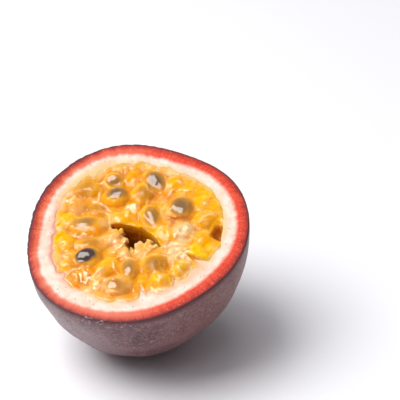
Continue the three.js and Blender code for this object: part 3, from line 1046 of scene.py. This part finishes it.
def hollow():
    """The room inside the peel, open far above the cut."""
    depth = BODY_DEPTH - WALL - PEEL_GAP
    outline = [(0.0, -depth)]
    for i in range(1, HOLLOW_STEPS + 1):
        dip = math.pi / 2 * (1 - (i / HOLLOW_STEPS) ** 1.2)  # finer near the bottom
        outline.append((1.0, -depth * math.sin(dip)))
    outline += [(1.0, HOLLOW_ABOVE), (0.0, HOLLOW_ABOVE)]
    room = spun("hollow", np.array(outline), HOLLOW_SPIN)
    x, y, z = places(room).T
    bearing = np.arctan2(y, x)
    out = np.hypot(x, y) * hollow_reach(bearing, z)
    move_to(room, as_fruit(np.column_stack([out * np.cos(bearing), out * np.sin(bearing), z])))
    return room


# ---------------------------------------------------------------- the pulp's surface


def inside_hollow(points):
    """Points moved in, where needed, to the wall of the hollow."""
    x, y, z = points.T
    drift_x, drift_y = drift(z)
    bearing = np.arctan2(y - drift_y, x - drift_x)
    out = np.hypot(x - drift_x, y - drift_y)
    most = hollow_reach(bearing, z) * lobed(bearing)
    pull = np.minimum(1, most / np.maximum(out, 1e-6))
    return np.column_stack([drift_x + (x - drift_x) * pull, drift_y + (y - drift_y) * pull, z])


def neighbours_mean(pulp, values, rounds):
    """Values on the vertices, evened out over their neighbours a number of times."""
    edges = np.empty(len(pulp.data.edges) * 2, dtype=np.int32)
    pulp.data.edges.foreach_get("vertices", edges)
    first, second = edges.reshape(-1, 2).T
    count = 1 + np.bincount(first, minlength=len(values)) + np.bincount(second, minlength=len(values))
    for _ in range(rounds):
        from_second = np.bincount(first, values[second], len(values))
        from_first = np.bincount(second, values[first], len(values))
        values = (values + (from_second + from_first)) / count
    return values


def ridge_height(points, path, width):
    """1 along a path over the face, fading sideways over the width and towards both ends."""
    lengths = [math.dist(a, b) for a, b in zip(path, path[1:])]
    height = np.zeros(len(points))
    run = 0.0
    for (ax, ay), (bx, by), length in zip(path, path[1:], lengths):
        px, py = points[:, 0] - ax, points[:, 1] - ay
        t = np.clip((px * (bx - ax) + py * (by - ay)) / length**2, 0, 1)
        away = np.hypot(px - t * (bx - ax), py - t * (by - ay))
        taper = np.sin(math.pi * np.clip((run + t * length) / sum(lengths), 0.03, 0.97)) ** 0.6
        height = np.maximum(height, np.exp(-((away / width) ** 2)) * taper)
        run += length
    return height


def raise_seed_skins(form, upper):
    """Lays a round, wet skin over each seed that is near the surface, and tells where the skins are."""
    x, y = form[:, 0], form[:, 1]
    calm = np.zeros(len(form))
    for sx, sy, length, width, turn, look, (gx, gy), along_round, across_round in SEEDS:
        if look in UNDER_FLESH:
            continue
        cover = patch(form, sx, sy, 1.15 * length, 1.15 * width, turn, 0.45) * upper
        middle = patch(form, sx, sy, length, width, turn, 0.1) * upper > 0.5
        level = form[middle, 2].mean() + (0.45 if look == BARE else 0.1)
        dx, dy = x - sx - gx, y - sy - gy
        along, across = along_and_across(dx, dy, math.radians(turn))
        skin = level - along**2 / (2 * along_round) - across**2 / (2 * across_round)
        skin += GLINT_SLOPE[0] * dx + GLINT_SLOPE[1] * dy
        skin += (0.12 if look == BARE else 0.06) * relief(form, 1.1, 47)
        form[:, 2] += cover * (np.maximum(skin, level - 2.0) - form[:, 2])
        calm = np.maximum(calm, cover)
    return calm


def sculpt(form):
    """Works the small forms into the heap: the skins over seeds, torn ridges, folds and ripples. Returns
    how far each point is lifted by a ridge, and how wet it is."""
    upper = smoothstep(-3.2, -1.2, form[:, 2])
    calm = raise_seed_skins(form, upper)
    lift = np.zeros(len(form))
    wandering = form + wander(form, 1.6, 0.5, 61, 65)
    for path, width, height in RIDGES:
        lift = np.maximum(lift, height * ridge_height(wandering, path, width))
    folds = np.full(len(form), 0.03)
    for x, y, radius, height in CRUMPLED:
        folds = np.maximum(folds, 0.75 * height * patch(form, x, y, 2 * radius, 2 * radius, 0, 0.35))
    sharp = 0.5 - 2 * np.abs(relief(form * (1, 1, 0.3), 1.7, 41))
    fine = 0.03 * relief(form, 0.8, 43)
    form[:, 2] += upper * (lift + (1 - calm) * folds * sharp + (1 - 0.6 * calm) * fine)
    wet = np.maximum(calm, np.maximum(smoothstep(0.05, 0.3, lift), smoothstep(0.1, 0.35, folds)))
    return lift, wet


def from_wall(points):
    """How far inwards of the hollow's wall each point of the pulp is, in millimetres."""
    x, y, z = points.T
    bearing = np.arctan2(y, x)
    return hollow_reach(bearing, np.minimum(z, 0)) * lobed(bearing) - np.hypot(x, y)


def meet_wall(points):
    """Brings the heap level with the peel's inner edge, its ledge or a spike, so that no gap shows there."""
    x, y, z = points.T
    bearing = np.arctan2(y, x)
    uneven = relief(points, 2.4, 71)
    inwards = from_wall(points) + 0.3 * uneven
    lowered = 0.38 * ledge_width(bearing) + 0.14 * spike_reach(bearing)
    rim = -0.19 + 0.1 * uneven - lowered * (1 - smoothstep(1.0, 3.5, inwards))
    # At the right the sacs run together, so that the dips between them are filled.
    even = np.maximum(around(bearing, 27, 36), 0.8 * around(bearing, -20, 13))
    low = rim - (0.3 - 0.2 * even) * (1 - smoothstep(0.0, 0.5, inwards))
    low = low - (0.8 - 0.65 * even) * smoothstep(1.2, 4.5 + 2.5 * even, inwards)
    high = rim + 0.05 + 0.9 * smoothstep(0.5, 4.0, inwards)
    open_cleft = patch(points, *OPEN_CLEFT, 0.3)
    lifted = z + np.maximum(low - z, 0) * smoothstep(-2.6, -1.2, z) * (1 - open_cleft)
    over = np.maximum(lifted - high, 0)
    return np.column_stack([x, y, lifted - over + 0.12 * over * smoothstep(0.6, 2.0, inwards)])


def tinted(colour, share, tint):
    """The points' colours, turned towards a tint by a share for each point."""
    return colour + share[:, None] * (np.array(tint) - colour)


def flesh_colour(form, lift):
    """Each point takes its colour from the nearest sacs, the patches over them, the ridges and the wall. A
    few patches are painted shadow and painted highlight.
    """
    near = np.full((len(SACS), len(form)), 9.0)
    moved = form + wander(form, 2.0, 0.9, 51, 55)
    for number, sac in enumerate(SACS):
        along, across = along_and_across(moved[:, 0] - sac.x, moved[:, 1] - sac.y, sac.turn)
        near[number] = 2 * np.hypot(along / sac.size[0], across / sac.size[1])
    weight = np.exp(-SAC_COLOUR_EDGE * near)
    weight /= weight.sum(axis=0)
    colour = weight.T @ np.array([sac.colour for sac in SACS])
    for x, y, length, width, turn, tint, strength in PATCHES:
        colour = tinted(colour, strength * patch(moved, x, y, length, width, turn, 0.45), tint)
    colour = tinted(colour, 0.7 * np.clip(lift / 0.45, 0, 1), CREAM)
    # Thin and pale where it runs out over the pith, apart from two stretches.
    bearing = np.arctan2(form[:, 1], form[:, 0])
    width = 1.6 + 0.9 * around(bearing, 75, 60) + 0.8 * relief(form, 1.8, 73)
    thin = 0.75 * (1 - smoothstep(0.3, width, from_wall(form))) * (form[:, 2] > -1.5)
    rich = np.maximum(0.9 * around(bearing, 5, 42), 0.6 * around(bearing, 178, 34))
    return tinted(colour, thin * (1 - rich), MILKY)


def paint_pulp(pulp, form, lift):
    """Keeps the flesh's colour, the dark of the seeds under it, and how the surface lies."""
    pulp.data.attributes.new("flesh", "FLOAT_COLOR", "POINT")
    colour = flesh_colour(form, lift).astype(np.float32)
    pulp.data.attributes["flesh"].data.foreach_set("color", colour.ravel())
    near_face = form[:, 2] > -4
    dark = np.zeros(len(form))
    halo = np.zeros(len(form))
    ragged = form + wander(form, 1.3, 0.3, 57, 58)
    for x, y, length, width, turn, (strength, blur), *_ in SEEDS:
        dark = np.maximum(dark, strength * patch(ragged, x, y, length, width, turn, blur))
        around_it = patch(ragged, x, y, length + HALO_SPREAD, width + HALO_SPREAD, turn, 0.6)
        halo = np.maximum(halo, strength * around_it)
    store(pulp, "seed", dark * near_face)
    store(pulp, "halo", halo * near_face)
    # Above 0 where the surface stands out from its surroundings, below 0 where it lies in a hollow.
    proud = form[:, 2] - neighbours_mean(pulp, form[:, 2], PROUD_ROUNDS)
    store(pulp, "proud", np.clip(proud / PROUD_MOST, -1, 1))
    store(pulp, "depth", -form[:, 2])


def build_pulp():
    heap = join("pulp_dressed", [bed()] + [sac_body(number, sac) for number, sac in enumerate(SACS)])
    apply_modifier(heap, "REMESH", mode="VOXEL", voxel_size=COARSE)
    apply_modifier(heap, "SMOOTH", factor=SMOOTHING, iterations=COARSE_ROUNDS)
    cut_with(heap, hollow(), "INTERSECT")
    cut_with(heap, cleft("crevice", CREVICE, 5), "DIFFERENCE")
    cut_with(heap, cleft("side_cleft", SIDE_CLEFT, 9), "DIFFERENCE")
    cut_with(heap, cleft("edge_cleft", EDGE_CLEFT, 12), "DIFFERENCE")
    shreds = [shred(number, place, radius) for number, (place, radius) in enumerate(SHREDS)]
    heap = join("pulp_dressed", [heap] + shreds)
    apply_modifier(heap, "REMESH", mode="VOXEL", voxel_size=FINE)
    apply_modifier(heap, "SMOOTH", factor=SMOOTHING, iterations=FINE_ROUNDS)
    hidden = heap.vertex_groups.new(name="hidden")
    hidden.add(np.flatnonzero(places(heap)[:, 2] < HIDDEN_BELOW).tolist(), 1.0, "REPLACE")
    apply_modifier(heap, "DECIMATE", ratio=HIDDEN_SHARE, vertex_group="hidden", vertex_group_factor=10)
    heap.vertex_groups.clear()
    heap = without_crumbs(heap)
    form = places(heap)
    lift, wet = sculpt(form)
    store(heap, "wet", wet)
    form = inside_hollow(meet_wall(form))
    paint_pulp(heap, form, lift)
    move_to(heap, to_row(form))
    select(heap)
    bpy.ops.object.shade_smooth()
    return heap


# ---------------------------------------------------------------- the pulp's look

# Tan flesh lies round a seed, and the seed is amber at its blurred edge, greyer further in and dark in the
# middle: where each of its tints begins and is full, and the tint.
AROUND_SEED = "cf9338"
SEED_TINTS = (
    (0.02, 0.3, "c2842c"),
    (0.26, 0.52, "a07840"),
    (0.5, 0.76, "7a5b41"),
    (0.8, 1.0, "4c3a36"),
)


def pulp_colour(make, place, depth, seed, strand):
    """Flesh with seeds under it, and painted shade: deeper orange in the hollows and dark in the crevice."""
    proud = make.painted("proud")
    light_fleck = make.ramp(make.grain(place, 2.2, detail=4), 0.5, 0.59)
    colour = make.mix(make.times(light_fleck, 0.32), make.painted("flesh", "Color"), "f2c684")
    amber_fleck = make.ramp(make.grain(place, 2.4, detail=3, shift=4), 0.48, 0.58)
    colour = make.mix(make.times(amber_fleck, 0.6), colour, "eea200")
    # Painted shade: deeper orange where the flesh lies in a hollow.
    colour = make.mix(make.times(make.ramp(proud, 0.05, -0.75), 0.75), colour, "d98000")
    # Painted shade: brown down in the crevice, and darker brown at its bottom.
    inside = make.ramp(make.grain(place, 1.1, detail=3, shift=17), 0.4, 0.62)
    colour = make.mix(make.ramp(depth, 1.8, 4.4), colour, make.mix(inside, "a2520a", "c2761a"))
    colour = make.mix(make.ramp(depth, 4.4, 8.0), colour, "7e3604")
    colour = make.mix(make.times(strand, 0.22), colour, "fbe0b0")
    colour = make.mix(make.times(make.painted("halo"), 0.6), colour, AROUND_SEED)
    for start, end, tint in SEED_TINTS:
        colour = make.mix(make.ramp(seed, start, end), colour, tint)
    return colour


def pulp_shading(make):
    place = make.fruit_place()
    depth = make.painted("depth")
    seed = make.painted("seed")
    strand = make.times(make.threads(place, 2.3), make.ramp(depth, 1.5, 0.8))
    wet = make.times(make.ramp(make.grain(place, 1.4, detail=2, shift=6), 0.45, 0.6), 0.55)
    wet = make.larger(wet, make.painted("wet"))
    over_seed = make.minus(1.0, make.times(make.ramp(seed, 0.1, 0.5), 0.12))
    ripple = make.plus(make.grain(place, 0.9, detail=2, shift=9), make.times(strand, 0.35))
    return {
        "Base Color": pulp_colour(make, place, depth, seed, strand),
        "Roughness": 0.4,
        "IOR": 1.4,
        "Normal": make.bumps(ripple, distance=0.2 * MM, strength=0.7),
        "Specular IOR Level": 0.0,
        "Subsurface Weight": 0.8,
        "Subsurface Radius": (1.0, 0.8, 0.3),
        "Subsurface Scale": 2.4 * MM,
        "Coat Weight": make.times(make.plus(make.times(wet, 0.85), 0.15), over_seed),
        "Coat Roughness": 0.05,
        "Coat IOR": 1.7,
    }


# ---------------------------------------------------------------- stage, light and camera

FLOOR_COLOUR = (0.93, 0.935, 0.975, 1)
SKY_COLOUR = (0.98, 0.96, 1.0, 1)
SKY_AROUND = 0.03
SKY_OVERHEAD = 0.25
SKY_MIRRORED = 0.2

# The camera looks down from the front, and the middle of the cut lies left of and below the frame's middle.
CAMERA_DISTANCE = 0.430
CAMERA_RISE = math.radians(32)
FRAME_PIXELS = 400
FOCAL_PIXELS = 1661.6
CUT_PIXEL = (133.9, 228.6)
SENSOR = 36.0


def camera():
    back = Vector((0, -math.cos(CAMERA_RISE), math.sin(CAMERA_RISE)))
    right = Vector((1, 0, 0))
    up = back.cross(right)
    aside = (CUT_PIXEL[0] - FRAME_PIXELS / 2) / FOCAL_PIXELS
    above = (FRAME_PIXELS / 2 - CUT_PIXEL[1]) / FOCAL_PIXELS
    sight = -back + right * aside + up * above
    data = bpy.data.cameras.new("camera")
    data.sensor_width = SENSOR
    data.lens = FOCAL_PIXELS * SENSOR / FRAME_PIXELS
    data.clip_start = 0.01
    eye = bpy.data.objects.new("camera", data)
    bpy.context.scene.collection.objects.link(eye)
    eye.location = CUT_CENTRE - CAMERA_DISTANCE * sight
    eye.rotation_euler = back.to_track_quat("Z", "Y").to_euler()
    bpy.context.scene.camera = eye


def softbox(name, direction, distance, size, power, colour=(1, 1, 1)):
    """A square lamp that shines at the fruit from a direction."""
    data = bpy.data.lights.new(name, "AREA")
    data.shape = "SQUARE"
    data.size = size
    data.energy = power
    data.color = colour
    lamp = bpy.data.objects.new(name, data)
    bpy.context.scene.collection.objects.link(lamp)
    towards = Vector(direction).normalized()
    lamp.location = Vector((0, 0, 0.02)) + towards * distance
    lamp.rotation_euler = towards.to_track_quat("Z", "Y").to_euler()
    return lamp


def stage():
    deselect()
    bpy.ops.mesh.primitive_plane_add(size=6, location=(0, 0, -0.1 * MM))
    floor = named("floor")
    shading = {"Base Color": FLOOR_COLOUR, "Roughness": 0.6}
    floor.data.materials.append(new_material("floor_white", lambda make: shading))
    world = bpy.data.worlds.new("studio")
    world.use_nodes = True
    make = Make(world.node_tree)
    height = make.node("SeparateXYZ", {0: make.node("TexCoord", {}, "Generated")}, "Z")
    sky = make.plus(make.times(make.larger(height, 0.0), SKY_OVERHEAD), SKY_AROUND)
    in_mirror = make.times(make.node("LightPath", {}, "Is Glossy Ray"), SKY_MIRRORED)
    background = world.node_tree.nodes["Background"]
    make.feed(background.inputs, {"Color": SKY_COLOUR, "Strength": make.larger(sky, in_mirror)})
    bpy.context.scene.world = world
    softbox("key", (-0.475, -0.10, 0.873), distance=0.9, size=0.6, power=7.8, colour=(1, 0.985, 0.965))
    haze = softbox("haze", (-0.42, 0.0, 0.9), distance=1.2, size=1.8, power=9.1)
    haze.visible_glossy = False
    bpy.context.scene.view_settings.view_transform = "Standard"


def dress(piece, material, node):
    """Gives a piece its material and lets it stand for the CAD node of the same part."""
    piece.data.materials.clear()
    piece.data.materials.append(material)
    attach(piece, "root")
    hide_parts(node)


dress(build_peel(), new_material("peel_skin_rind_and_pith", peel_shading), "peel")
dress(build_pulp(), new_material("pulp_wet", pulp_shading), "pulp")

stage()
camera()
